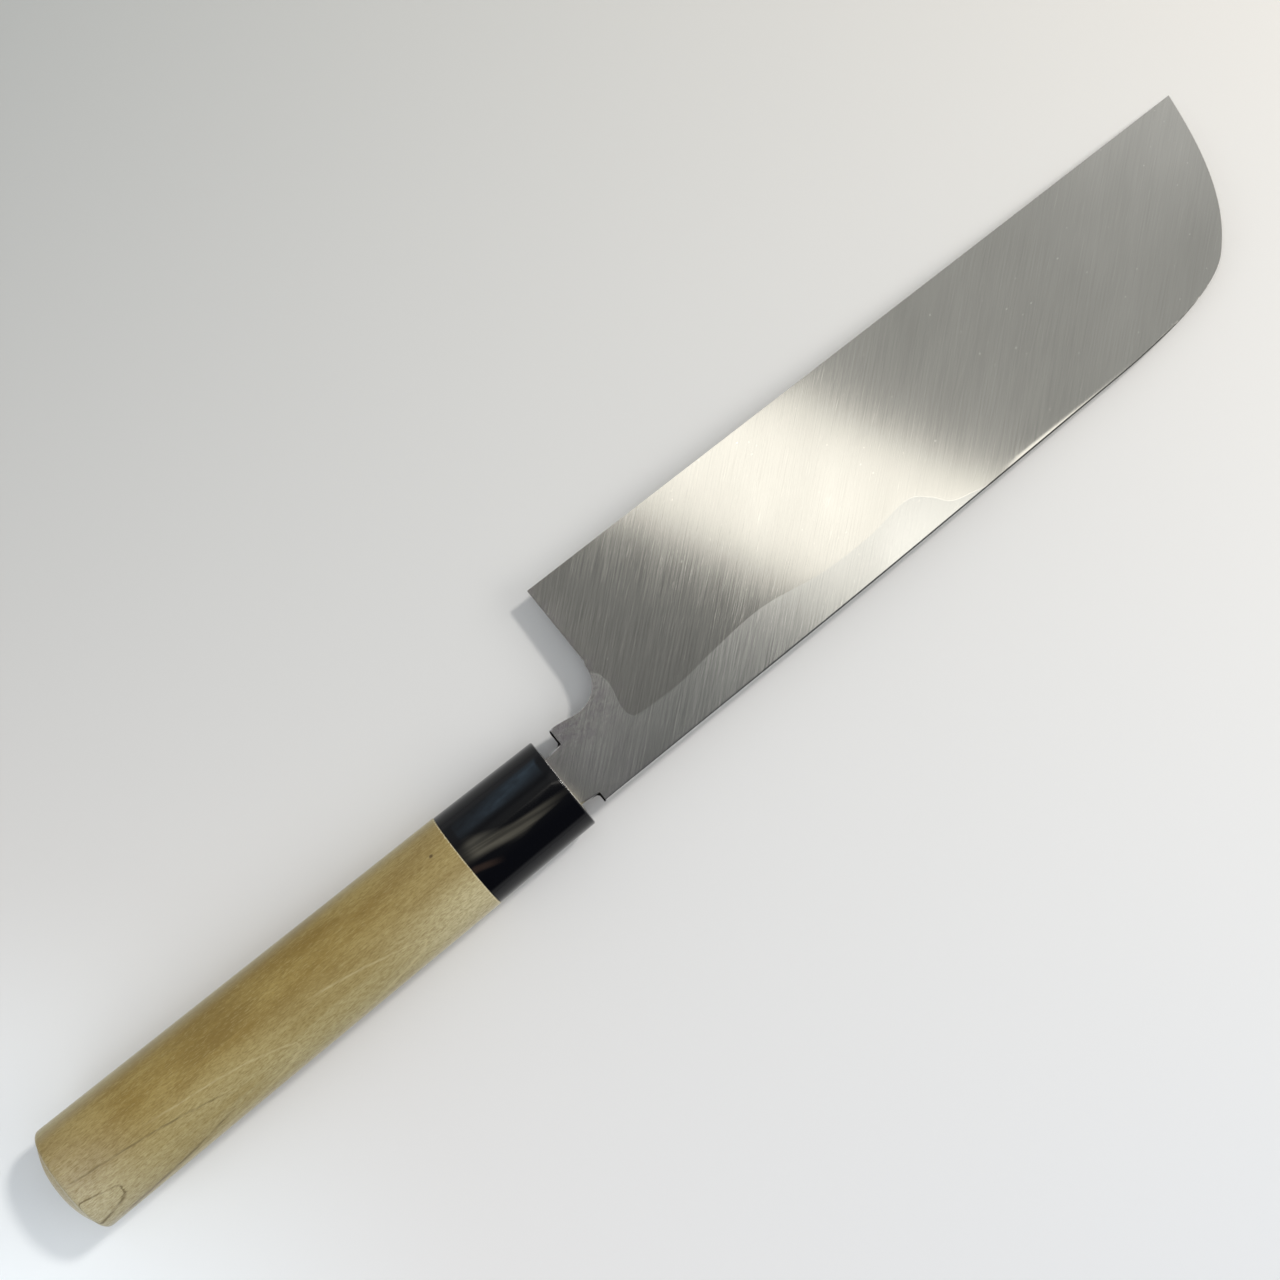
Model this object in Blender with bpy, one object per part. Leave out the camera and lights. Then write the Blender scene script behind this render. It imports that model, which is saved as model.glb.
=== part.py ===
"""Usuba: a right-handed, single-bevel vegetable knife with an oval wooden handle.

The blade is a soft iron body with a hard steel layer forge-welded to its flat side. The
tang is a drive fit in the wood, and a horn collar sits on the handle's tenon.

Every piece is modelled straight: X runs along the handle's axis from the butt to the tip,
Y points to the cutting edge, and Z points out of the flat side. X is 0 at the collar's front
face, and Z is 0 on the handle's axis. An empty then lays the whole knife down as it rests
on a table with its flat side up: on the collar, the end of the bevel line and the tip.
"""

import math

import bmesh
import bpy
from mathutils import Matrix, Vector

mm = 0.001

# Clearance between pieces that touch on the real knife
fit_gap = 0.3 * mm

# Blade in plan
heel_x = 20.1 * mm
edge_length = 180.0 * mm
heel_edge_y = 37.55 * mm
edge_slope = math.radians(1.17)
spine_depth = 8.93 * mm

# Spine and nose in plan, each place measured back from the tip and up from the spine's line
spine_straight_back = 141.0 * mm
shoulder_back = 50.0 * mm
shoulder_rise = 1.06 * mm
shoulder_angle = math.radians(0.75)
nose_back = 14.1 * mm
nose_rise = 8.15 * mm
nose_angle = math.radians(43.0)
tip_angle = math.radians(82.0)

# How far each curve of the spine and nose runs along its end directions
spine_reach = 30.0 * mm
shoulder_reach = 12.1 * mm
nose_reach_back = 8.4 * mm
nose_reach_front = 12.3 * mm
tip_reach = 14.0 * mm

# Neck and the notches in front of the collar
neck_edge_y = 9.8 * mm
choil_radius = 7.0 * mm
choil_step = 0.45 * mm
choil_step_run = 0.9 * mm
neck_flare = 0.9 * mm
notch_x = 4.4 * mm
notch_corner = 0.8 * mm
notch_fillet = 0.5 * mm

# Tang
tang_length = 95.0 * mm
tang_width = 12.6 * mm
tang_end_width = 6.0 * mm
tang_end_thickness = 2.0 * mm
tang_flare = 0.5 * mm

# Blade thickness and grinds
neck_thickness = 3.6 * mm
tip_thickness = 1.5 * mm
bevel_width_heel = 18.5 * mm
bevel_width_tip = 17.0 * mm
edge_land = 0.1 * mm
spine_chamfer = 0.3 * mm

# Hollow of the flat side: where it starts and ends, and how far it takes to reach full depth
hollow_depth = 0.2 * mm
hollow_rim = 0.6 * mm
hollow_behind_heel = 10.0 * mm
hollow_behind_tip = 7.0 * mm
hollow_fade = 30.0 * mm

# Steel layer
steel_thickness_heel = 1.15 * mm
steel_thickness_tip = 0.58 * mm

# Weld line on the flat side: distance in front of the heel, height above the spine's line
weld_line = (
    (-2.6 * mm, 25.4 * mm),
    (-0.4 * mm, 23.8 * mm),
    (0.9 * mm, 22.0 * mm),
    (1.2 * mm, 18.5 * mm),
    (0.2 * mm, 14.5 * mm),
    (0.4 * mm, 11.6 * mm),
    (2.6 * mm, 10.1 * mm),
    (13.3 * mm, 9.7 * mm),
    (24.0 * mm, 10.7 * mm),
    (37.7 * mm, 11.3 * mm),
    (52.4 * mm, 8.9 * mm),
    (65.6 * mm, 8.5 * mm),
    (77.0 * mm, 9.6 * mm),
    (81.7 * mm, 6.8 * mm),
    (84.9 * mm, 3.2 * mm),
    (91.0 * mm, 1.4 * mm),
    (100.0 * mm, -1.5 * mm),
)

# Handle: the collar and the wood taper evenly from the butt to the collar's front
handle_length = 139.5 * mm
collar_length = 26.8 * mm
collar_front_width = 22.5 * mm
collar_front_thickness = 19.0 * mm
collar_rear_width = 23.5 * mm
collar_rear_thickness = 20.0 * mm
collar_wall = 3.0 * mm
collar_front_chamfer = 0.4 * mm
wood_stand_proud = 0.1 * mm
butt_width = 26.1 * mm
butt_thickness = 22.6 * mm
butt_dome = 3.2 * mm
butt_corner = 1.3 * mm
tenon_proud = 0.2 * mm
oval_power = 2.2
butt_dome_power = 2.4

# How finely the curved shapes are cut into facets
nose_steps = 14
spine_steps = 8
choil_steps = 10
flare_steps = 6
corner_steps = 3
weld_steps = 4
oval_steps = 72
blade_stations = 36
hollow_columns = 10
dome_steps = 5
sharp_angle = math.radians(25)

# Room by which a cutter runs past what it cuts, and by which it clears a flat rim
past = 5.0 * mm
rim_lift = 0.02 * mm

# How often the search for the collar's lowest point is repeated, and vertices closer are one
settling_turns = 6
merge_distance = 0.0001 * mm

# Places that follow from the sizes above
tip_x = heel_x + edge_length
tip_y = heel_edge_y - edge_length * math.tan(edge_slope)
spine_y = -spine_depth
flat_z = neck_thickness / 2


def remove_everything():
    for item in list(bpy.data.objects):
        bpy.data.objects.remove(item, do_unlink=True)


# Small geometry helpers

def bezier(start, start_pull, end_pull, end, steps):
    """Points of a cubic curve in plan, without its last one."""
    points = []
    for step in range(steps):
        t = step / steps
        u = 1 - t
        points.append(
            start * u ** 3 + start_pull * 3 * u * u * t + end_pull * 3 * u * t * t + end * t ** 3
        )
    return points


def arc(centre, radius, from_angle, to_angle, steps):
    """Points of a round corner in plan, both ends included."""
    points = []
    for step in range(steps + 1):
        angle = from_angle + (to_angle - from_angle) * step / steps
        points.append(centre + radius * Vector((math.cos(angle), math.sin(angle))))
    return points


def heading(angle):
    return Vector((math.cos(angle), math.sin(angle)))


def smooth_path(points, steps):
    """A Catmull-Rom curve through the points."""
    path = []
    for index in range(len(points) - 1):
        before = points[max(index - 1, 0)]
        here = points[index]
        after = points[index + 1]
        beyond = points[min(index + 2, len(points) - 1)]
        for step in range(steps):
            t = step / steps
            path.append(0.5 * (
                2 * here
                + (after - before) * t
                + (2 * before - 5 * here + 4 * after - beyond) * t * t
                + (3 * here - before - 3 * after + beyond) * t ** 3
            ))
    path.append(points[-1])
    return path


def moved_right(path, distance):
    """The path moved sideways, to the right of its direction."""
    moved = []
    for index, point in enumerate(path):
        ahead = path[min(index + 1, len(path) - 1)]
        behind = path[max(index - 1, 0)]
        direction = (ahead - behind).normalized()
        moved.append(point + distance * Vector((direction.y, -direction.x)))
    return moved


def smooth_step(value, low, high):
    t = min(max((value - low) / (high - low), 0.0), 1.0)
    return t * t * (3 - 2 * t)


# Surfaces of the blade

def along(x):
    """0 at the collar's front, 1 at the tip."""
    return x / tip_x


def along_edge(x):
    """0 at the heel, 1 at the tip."""
    return (x - heel_x) / edge_length


def blade_thickness(x):
    return neck_thickness + (tip_thickness - neck_thickness) * along(x)


def steel_thickness(x):
    return steel_thickness_heel + (steel_thickness_tip - steel_thickness_heel) * along_edge(x)


def edge_y(x):
    return heel_edge_y - (x - heel_x) * math.tan(edge_slope)


def bevel_line_y(x):
    width = bevel_width_heel + (bevel_width_tip - bevel_width_heel) * along_edge(x)
    return edge_y(x) - width


# Outlines in plan

def spine_and_nose():
    """From the lower notch along the spine and round the nose to the tip."""
    machi = Vector((notch_x, spine_y))
    straight_end = Vector((tip_x - spine_straight_back, spine_y))
    shoulder = Vector((tip_x - shoulder_back, spine_y + shoulder_rise))
    nose = Vector((tip_x - nose_back, spine_y + nose_rise))
    tip = Vector((tip_x, tip_y))
    points = [machi]
    points += bezier(
        straight_end,
        straight_end + spine_reach * heading(0),
        shoulder - spine_reach * heading(shoulder_angle),
        shoulder,
        spine_steps,
    )
    points += bezier(
        shoulder,
        shoulder + shoulder_reach * heading(shoulder_angle),
        nose - nose_reach_back * heading(nose_angle),
        nose,
        nose_steps,
    )
    points += bezier(
        nose,
        nose + nose_reach_front * heading(nose_angle),
        tip - tip_reach * heading(tip_angle),
        tip,
        nose_steps,
    )
    points.append(tip)
    return points


def neck_top():
    """From the heel's inner end round the choil and along the neck to the upper notch."""
    step_x = heel_x - choil_step
    centre = Vector((step_x - choil_radius, neck_edge_y + choil_radius))
    flare_y = neck_edge_y + neck_flare
    corner = Vector((notch_x + notch_corner, flare_y - notch_corner))
    points = [Vector((heel_x, centre.y + choil_step_run))]
    points += arc(centre, choil_radius, 0.0, -math.pi / 2, choil_steps)
    choil_end = points.pop()
    flare_end = Vector((corner.x, flare_y))
    flare_pull = Vector(((choil_end.x - flare_end.x) / 3, 0))
    points += bezier(choil_end, choil_end - flare_pull, flare_end + flare_pull, flare_end, flare_steps)
    points += arc(corner, notch_corner, math.pi / 2, math.pi, corner_steps)
    return points


def tang_half_width(x):
    """Half the tang's width behind the collar's front face."""
    return (tang_width + (tang_end_width - tang_width) * (-x / tang_length)) / 2


def notch_and_tang():
    """From the upper notch round the tang to the lower notch."""
    side = tang_half_width(0.0)
    end = tang_half_width(-tang_length)
    upper = [
        Vector((notch_x, side + tang_flare + notch_fillet)),
        Vector((notch_x - notch_fillet, side + tang_flare)),
        Vector((0.0, side)),
        Vector((-tang_length, end)),
    ]
    lower = [Vector((point.x, -point.y)) for point in reversed(upper)]
    return upper + lower


def blade_outline():
    """The whole plan, anticlockwise from the lower notch, and how many points are spine."""
    spine = spine_and_nose()
    outline = spine + [Vector((heel_x, heel_edge_y))] + neck_top() + notch_and_tang()
    spine_points = 0
    for point in spine:
        if point.y < bevel_line_y(point.x):
            spine_points += 1
    return outline, spine_points


def weld_path():
    """The edge of the steel on the flat side, from the heel to past the spine."""
    return smooth_path([Vector((heel_x + x, spine_y + y)) for x, y in weld_line], weld_steps)


# Meshes

def mesh_object(name, bm, material=None, smooth=True):
    bmesh.ops.remove_doubles(bm, verts=bm.verts, dist=merge_distance)
    bmesh.ops.recalc_face_normals(bm, faces=bm.faces)
    mesh = bpy.data.meshes.new(name)
    bm.to_mesh(mesh)
    bm.free()
    if smooth:
        mesh.shade_smooth()
        mesh.set_sharp_from_angle(angle=sharp_angle)
    piece = bpy.data.objects.new(name, mesh)
    bpy.context.scene.collection.objects.link(piece)
    if material:
        mesh.materials.append(material)
    return piece


def prism(bm, outline, bottom, top):
    """A closed body over an outline; bottom and top are heights, as functions of the point."""
    low = [bm.verts.new((p.x, p.y, bottom(p))) for p in outline]
    high = [bm.verts.new((p.x, p.y, top(p))) for p in outline]
    bm.faces.new(list(reversed(low)))
    bm.faces.new(high)
    count = len(outline)
    for index in range(count):
        after = (index + 1) % count
        bm.faces.new((low[index], low[after], high[after], high[index]))
    return low, high


def loft(bm, rings):
    """A closed body through rings of as many points each, with flat ends."""
    rows = [[bm.verts.new(point) for point in ring] for ring in rings]
    count = len(rows[0])
    for row, following in zip(rows, rows[1:]):
        for index in range(count):
            after = (index + 1) % count
            bm.faces.new((row[index], row[after], following[after], following[index]))
    bm.faces.new(list(reversed(rows[0])))
    bm.faces.new(rows[-1])


def cut(piece, cutter, operation="DIFFERENCE"):
    modifier = piece.modifiers.new(cutter.name, "BOOLEAN")
    modifier.operation = operation
    modifier.solver = "EXACT"
    modifier.object = cutter


def as_cutter(piece):
    piece.hide_render = True
    piece.display_type = "WIRE"
    return piece


def metal(name, colour, roughness):
    material = bpy.data.materials.new(name)
    material.use_nodes = True
    shader = material.node_tree.nodes["Principled BSDF"]
    shader.inputs["Base Color"].default_value = (*colour, 1.0)
    shader.inputs["Roughness"].default_value = roughness
    shader.inputs["Metallic"].default_value = 1.0
    return material


def plain(name, colour, roughness):
    material = metal(name, colour, roughness)
    material.node_tree.nodes["Principled BSDF"].inputs["Metallic"].default_value = 0.0
    return material


# The blade's blank and its cutters

def blank_body():
    """The blade's outline at full thickness, with its spine and nose chamfered."""
    bm = bmesh.new()
    outline, spine_points = blade_outline()
    low, high = prism(
        bm,
        outline,
        bottom=lambda p: flat_z - blade_thickness(p.x),
        top=lambda p: flat_z,
    )
    chain = []
    for row in (low, high):
        for index in range(spine_points - 1):
            chain.append(bm.edges.get((row[index], row[index + 1])))
    bmesh.ops.bevel(
        bm,
        geom=chain,
        offset=spine_chamfer,
        offset_type="OFFSET",
        segments=1,
        profile=0.5,
        affect="EDGES",
    )
    return bm


def bevel_cutter():
    """What the wide bevel takes off the underside, from the bevel line to the edge."""
    bm = bmesh.new()
    low_z = flat_z - neck_thickness - past
    rings = []
    for station in range(blade_stations + 1):
        x = heel_x - past + (edge_length + 2 * past) * station / blade_stations
        line = Vector((bevel_line_y(x), flat_z - blade_thickness(x)))
        edge = Vector((edge_y(x), flat_z - edge_land))
        slope = (edge - line) / (edge.x - line.x)
        inner = line - slope * past / 2
        outer = edge + slope * past
        rings.append([
            (x, inner.x, inner.y),
            (x, outer.x, outer.y),
            (x, outer.x, low_z),
            (x, inner.x, low_z),
        ])
    loft(bm, rings)
    return as_cutter(mesh_object("bevel_cutter", bm, smooth=False))


def nose_y(x, spine):
    """Height of the spine or nose above the axis at x."""
    for before, after in zip(spine, spine[1:]):
        if before.x <= x <= after.x:
            share = (x - before.x) / (after.x - before.x)
            return before.y + (after.y - before.y) * share
    return spine[-1].y


def hollow_cutter():
    """The shallow hollow of the flat side, inside a thin flat rim."""
    bm = bmesh.new()
    spine = spine_and_nose()
    start_x = heel_x - hollow_behind_heel
    end_x = tip_x - hollow_behind_tip
    top_z = flat_z + past
    full_width = heel_edge_y + spine_depth
    rings = []
    for station in range(blade_stations + 1):
        x = start_x + (end_x - start_x) * station / blade_stations
        low_y = nose_y(x, spine) + hollow_rim
        high_y = edge_y(x) - hollow_rim
        width = high_y - low_y
        fade = smooth_step(x - start_x, 0.0, hollow_fade) * smooth_step(end_x - x, 0.0, hollow_fade)
        depth = hollow_depth * fade * (width / full_width) ** 2
        ring = [(x, high_y, top_z), (x, low_y, top_z)]
        for column in range(hollow_columns + 1):
            across = column / hollow_columns
            bow = 4 * across * (1 - across)
            z = flat_z + rim_lift - (depth + rim_lift) * bow
            ring.append((x, low_y + width * across, z))
        rings.append(ring)
    loft(bm, rings)
    return as_cutter(mesh_object("hollow_cutter", bm, smooth=False))


def tang_cutters():
    """Wedges that thin the tang evenly towards its end, one on each face."""
    cutters = []
    end_x = -tang_length - past
    slope = (neck_thickness - tang_end_thickness) / 2 / tang_length
    start_x = fit_gap
    for side, name in ((1, "tang_upper_cutter"), (-1, "tang_lower_cutter")):
        bm = bmesh.new()
        half = tang_width
        ring = [
            (start_x, side * (flat_z + slope * start_x)),
            (end_x, side * (flat_z + slope * end_x)),
            (end_x, side * (flat_z + past)),
            (start_x, side * (flat_z + past)),
        ]
        loft(bm, [[(x, -half, z) for x, z in ring], [(x, half, z) for x, z in ring]])
        cutters.append(as_cutter(mesh_object(name, bm, smooth=False)))
    return cutters


def steel_space(name, grown):
    """The space of the steel layer, grown on its inner sides."""
    bm = bmesh.new()
    path = moved_right(weld_path(), grown)
    outline = path + [
        Vector((tip_x + past, spine_y - past)),
        Vector((tip_x + past, heel_edge_y + past)),
        Vector((path[0].x, heel_edge_y + past)),
    ]
    prism(
        bm,
        outline,
        bottom=lambda p: flat_z - steel_thickness(p.x) - grown,
        top=lambda p: flat_z + past,
    )
    return as_cutter(mesh_object(name, bm, smooth=False))


def make_blade():
    body = mesh_object("blade_iron", blank_body(), metal("soft_iron", (0.36, 0.35, 0.33), 0.42))
    steel = mesh_object("blade_steel", blank_body(), metal("hard_steel", (0.50, 0.49, 0.46), 0.28))
    grinds = [bevel_cutter(), hollow_cutter()]
    for piece in (body, steel):
        for grind in grinds:
            cut(piece, grind)
    for cutter in tang_cutters():
        cut(body, cutter)
    cut(body, steel_space("steel_recess", fit_gap))
    cut(steel, steel_space("steel_layer", 0.0), "INTERSECT")
    return [body, steel]


# Handle

def oval(x, width, thickness):
    """A ring of points across the handle's axis."""
    ring = []
    for step in range(oval_steps):
        angle = 2 * math.pi * step / oval_steps
        cosine = math.cos(angle)
        sine = math.sin(angle)
        y = math.copysign(abs(cosine) ** (2 / oval_power), cosine) * width / 2
        z = math.copysign(abs(sine) ** (2 / oval_power), sine) * thickness / 2
        ring.append((x, y, z))
    return ring


def collar_size(x):
    """Width and thickness of the collar at x."""
    share = -x / collar_length
    width = collar_front_width + (collar_rear_width - collar_front_width) * share
    thickness = collar_front_thickness + (collar_rear_thickness - collar_front_thickness) * share
    return width, thickness


def tenon_size():
    width = collar_front_width - 2 * collar_wall
    thickness = collar_front_thickness - 2 * collar_wall
    return width, thickness


def make_collar():
    bm = bmesh.new()
    width, thickness = collar_size(0.0)
    rings = [oval(-collar_length, *collar_size(-collar_length))]
    rings.append(oval(-collar_front_chamfer, *collar_size(-collar_front_chamfer)))
    rings.append(oval(0.0, width - 2 * collar_front_chamfer, thickness - 2 * collar_front_chamfer))
    loft(bm, rings)
    collar = mesh_object("horn_ferrule", bm, plain("dark_horn", (0.02, 0.02, 0.025), 0.2))
    bore = bmesh.new()
    width, thickness = tenon_size()
    bore_size = (width + 2 * fit_gap, thickness + 2 * fit_gap)
    loft(bore, [oval(-collar_length - past, *bore_size), oval(past, *bore_size)])
    cut(collar, as_cutter(mesh_object("collar_bore", bore, smooth=False)))
    return collar


def make_wood():
    bm = bmesh.new()
    shoulder_x = -collar_length - fit_gap
    corner_x = -handle_length + butt_dome + butt_corner
    front = (collar_rear_width + 2 * wood_stand_proud, collar_rear_thickness + 2 * wood_stand_proud)
    rings = []
    for step in range(1, dome_steps + 1):
        share = step / dome_steps
        x = -handle_length + butt_dome * share ** butt_dome_power
        width = (butt_width - 2 * butt_corner) * share
        thickness = (butt_thickness - 2 * butt_corner) * share
        rings.append(oval(x, width, thickness))
    for step in range(1, corner_steps + 1):
        angle = math.pi / 2 * step / corner_steps
        inset = butt_corner * (1 - math.sin(angle))
        x = corner_x - butt_corner * math.cos(angle)
        rings.append(oval(x, butt_width - 2 * inset, butt_thickness - 2 * inset))
    rings.append(oval(shoulder_x, *front))
    rings.append(oval(shoulder_x, *tenon_size()))
    rings.append(oval(tenon_proud, *tenon_size()))
    loft(bm, rings)
    wood = mesh_object("handle_wood", bm, plain("pale_wood", (0.42, 0.34, 0.16), 0.5))
    cut(wood, tang_slot())
    return wood


def tang_slot():
    """The slot that the tang is driven into: the tang's own taper, with clearance."""
    bm = bmesh.new()
    rings = []
    for x in (-tang_length - fit_gap, tenon_proud + past):
        half_width = tang_half_width(x) + fit_gap
        share = -x / tang_length
        half_thickness = (neck_thickness + (tang_end_thickness - neck_thickness) * share) / 2
        half_thickness += fit_gap
        rings.append([
            (x, -half_width, -half_thickness),
            (x, half_width, -half_thickness),
            (x, half_width, half_thickness),
            (x, -half_width, half_thickness),
        ])
    loft(bm, rings)
    return as_cutter(mesh_object("tang_slot", bm, smooth=False))


# How the knife lies on a table

def bevel_line_end():
    """Where the bevel line meets the nose, on the underside."""
    spine = spine_and_nose()
    for before, after in zip(spine, spine[1:]):
        if before.y < bevel_line_y(before.x) and after.y >= bevel_line_y(after.x):
            low = bevel_line_y(before.x) - before.y
            high = after.y - bevel_line_y(after.x)
            point = before + (after - before) * (low / (low + high))
            return Vector((point.x, point.y, flat_z - blade_thickness(point.x)))
    return Vector((tip_x, bevel_line_y(tip_x), flat_z - tip_thickness))


def collar_lowest(up):
    """The point of the collar's front oval that lies lowest when up points up."""
    width, thickness = collar_size(-collar_front_chamfer)
    ring = [Vector(point) for point in oval(-collar_front_chamfer, width, thickness)]
    return min(ring, key=lambda point: point.dot(up))


def resting_rotation():
    """Turns the plane through the three points that touch the table into the level plane."""
    tip = Vector((tip_x, tip_y, flat_z - edge_land))
    line_end = bevel_line_end()
    up = Vector((0, 0, 1))
    for _ in range(settling_turns):
        collar = collar_lowest(up)
        up = (line_end - collar).cross(tip - collar).normalized()
        if up.z < 0:
            up.negate()
    forward = (Vector((1, 0, 0)) - up.x * up).normalized()
    sideways = up.cross(forward)
    return Matrix((forward, sideways, up))


def lay_down(pieces):
    """Parents the pieces to an empty that lays them on the level plane, box centred."""
    attitude = bpy.data.objects.new("resting_attitude", None)
    attitude.empty_display_size = collar_length
    bpy.context.scene.collection.objects.link(attitude)
    rotation = resting_rotation()
    for item in list(bpy.data.objects):
        if item.type == "MESH":
            item.parent = attitude
    corners = []
    graph = bpy.context.evaluated_depsgraph_get()
    for piece in pieces:
        evaluated = piece.evaluated_get(graph)
        corners += [rotation @ vertex.co for vertex in evaluated.data.vertices]
    low = [min(corner[axis] for corner in corners) for axis in range(3)]
    high = [max(corner[axis] for corner in corners) for axis in range(3)]
    attitude.rotation_euler = rotation.to_euler()
    attitude.location = (-(low[0] + high[0]) / 2, -(low[1] + high[1]) / 2, -low[2])


def main():
    remove_everything()
    pieces = make_blade()
    pieces.append(make_wood())
    pieces.append(make_collar())
    lay_down(pieces)
    bpy.context.view_layer.update()


main()
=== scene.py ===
"""A usuba, a single-bevel vegetable knife, lying flat side up on a pale table.

The knife is modelled straight, in its own frame, and then laid down as the part lies. X runs
along the handle's axis from the butt to the tip, Y points to the cutting edge, and Z points
out of the flat side. X is 0 at the collar's front face. Y and Z are 0 on the handle's axis.
"""

import math

import bmesh
import bpy
import numpy as np
from mathutils import Matrix, Vector
from mathutils.geometry import delaunay_2d_cdt


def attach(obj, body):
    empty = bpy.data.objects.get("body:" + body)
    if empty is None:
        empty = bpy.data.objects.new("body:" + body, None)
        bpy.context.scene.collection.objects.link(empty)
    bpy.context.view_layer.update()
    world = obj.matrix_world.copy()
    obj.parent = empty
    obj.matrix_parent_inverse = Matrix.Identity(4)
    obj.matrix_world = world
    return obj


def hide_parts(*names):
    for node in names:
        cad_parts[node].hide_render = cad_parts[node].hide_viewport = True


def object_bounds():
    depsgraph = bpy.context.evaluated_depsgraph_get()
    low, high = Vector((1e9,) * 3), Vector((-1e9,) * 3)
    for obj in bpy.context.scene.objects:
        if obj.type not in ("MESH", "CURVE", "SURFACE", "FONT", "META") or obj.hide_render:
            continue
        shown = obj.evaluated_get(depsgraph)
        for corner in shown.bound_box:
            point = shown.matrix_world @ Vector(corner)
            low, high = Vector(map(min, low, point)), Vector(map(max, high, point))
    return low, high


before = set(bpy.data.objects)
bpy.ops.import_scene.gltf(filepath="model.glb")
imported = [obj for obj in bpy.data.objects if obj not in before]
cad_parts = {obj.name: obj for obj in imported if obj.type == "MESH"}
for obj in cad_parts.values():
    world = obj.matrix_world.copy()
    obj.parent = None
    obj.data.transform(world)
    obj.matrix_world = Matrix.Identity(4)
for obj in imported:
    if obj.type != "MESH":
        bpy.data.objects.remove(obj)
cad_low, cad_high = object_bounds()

mm = 0.001

# Blade in plan
heel_x = 20.1 * mm
edge_length = 180 * mm
heel_edge_y = 37.55 * mm
edge_slope = math.radians(1.17)
spine_depth = 8.93 * mm

# Spine and nose in plan, each place measured back from the tip and up from the spine's line
spine_straight_back = 141 * mm
shoulder_back = 50 * mm
shoulder_rise = 1.06 * mm
shoulder_angle = math.radians(0.75)
nose_back = 14.1 * mm
nose_rise = 8.15 * mm
nose_angle = math.radians(43.0)
tip_angle = math.radians(82.0)
spine_reach = 30 * mm
shoulder_reach = 12.1 * mm
nose_reach_back = 8.4 * mm
nose_reach_front = 12.3 * mm
tip_reach = 14 * mm

# Neck, notches and tang
neck_edge_y = 9.8 * mm
choil_radius = 7 * mm
choil_step = 0.45 * mm
choil_step_run = 0.9 * mm
neck_flare = 0.9 * mm
notch_x = 4.4 * mm
notch_corner = 0.8 * mm
notch_fillet = 0.5 * mm
tang_length = 95 * mm
tang_width = 12.6 * mm
tang_end_width = 6 * mm
tang_end_thickness = 2 * mm
tang_flare = 0.5 * mm

# Blade thickness and grinds
neck_thickness = 3.6 * mm
tip_thickness = 1.5 * mm
bevel_width_heel = 18.5 * mm
bevel_width_tip = 17 * mm
edge_land = 0.1 * mm
spine_round = 0.42 * mm
spine_round_end = 40 * mm
spine_round_fade = 20 * mm
neck_round = 0.05 * mm
notch_round = 0.35 * mm
round_share = 0.4
round_rim = 0.08 * mm
hollow_depth = 0.175 * mm
hollow_rim = 0.2 * mm
spine_rim_width = 1.4 * mm
spine_rim_fall = 0.02 * mm
spine_rim_from = 116 * mm
spine_rim_to = 162 * mm
spine_rim_fade = 10 * mm
hollow_behind_heel = 18 * mm
hollow_behind_tip = 7 * mm
hollow_fade = 30 * mm

# Steel layer. Its unevenness is a sum of waves, each by its turns along the edge in radians, its
# start and its share
steel_thickness_heel = 1.15 * mm
steel_thickness_tip = 0.58 * mm
weld_gap = 0.01 * mm
weld_wave = 0.05 * mm
weld_waves = ((23.0, 0.0, 1.0), (41.0, 1.3, 0.6), (67.0, 4.0, 0.5))

# Weld line on the flat side: distance in front of the heel, and height above the spine's line
weld_line_mm = (
    (-2.6, 25.4), (-0.4, 23.8), (0.9, 22.0), (1.2, 18.5), (0.2, 14.5), (0.4, 11.6),
    (2.6, 10.1), (13.3, 9.7), (24.0, 10.7), (37.7, 11.3), (52.4, 8.9), (65.6, 8.5),
    (77.0, 9.6), (81.7, 6.8), (84.9, 3.2), (91.0, 1.4), (100.0, -1.5),
)

# Handle. Sizes are width and thickness
handle_length = 139.5 * mm
collar_length = 26.8 * mm
collar_front_size = np.array((22.5, 19.0)) * mm
collar_rear_size = np.array((23.5, 20.0)) * mm
collar_wall = 3 * mm
collar_front_chamfer = 0.4 * mm
collar_rear_break = 0.15 * mm
wood_stand_proud = 0.1 * mm
wood_front_break = 0.35 * mm
butt_size = np.array((26.1, 22.6)) * mm
butt_dome = 3.2 * mm
butt_corner = 1.3 * mm
tenon_proud = 0.05 * mm
tenon_lip_size = np.array((12.8, 10.5)) * mm
joint_gap = 0.05 * mm
oval_power = 2.2
butt_dome_power = 2.4

# How finely the shapes are cut
nose_steps = 40
spine_steps = 30
choil_steps = 16
flare_steps = 10
corner_steps = 6
weld_steps = 10
blade_stations = 150
blade_rows = 34
tang_columns = 14
tang_rows = 9
tang_spacing = 0.8 * mm
tang_side_spacing = 6 * mm
outline_spacing = 1.2 * mm
neck_spacing = 0.8 * mm
outline_clearance = 0.8 * mm
line_clearance = 0.45 * mm
round_steps = 4
oval_steps = 180
dome_steps = 16
collar_stations = 12
wood_stations = 40
sharp_angle = math.radians(30)

# Working values: how far lines that cut the plan run past it, how many points the lines beside
# the spine leave out at both ends, the least lengths that count, and turns that find how it rests
past = 5 * mm
spine_line_start = 3
spine_line_end = 12
tiny = 1e-9
merge_distance = 1e-7
levels_per_metre = 1e8
plan_tolerance_mm = 1e-5
line_tolerance = 0.002 * mm
settling_turns = 6

# Camera: straight above the table, turned so that the knife points to the upper right
camera_place = (2.3 * mm, 1.4 * mm, 550 * mm)
camera_turn = math.radians(-38.95)
camera_lens = 69.64
sensor_width = 36.0

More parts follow.
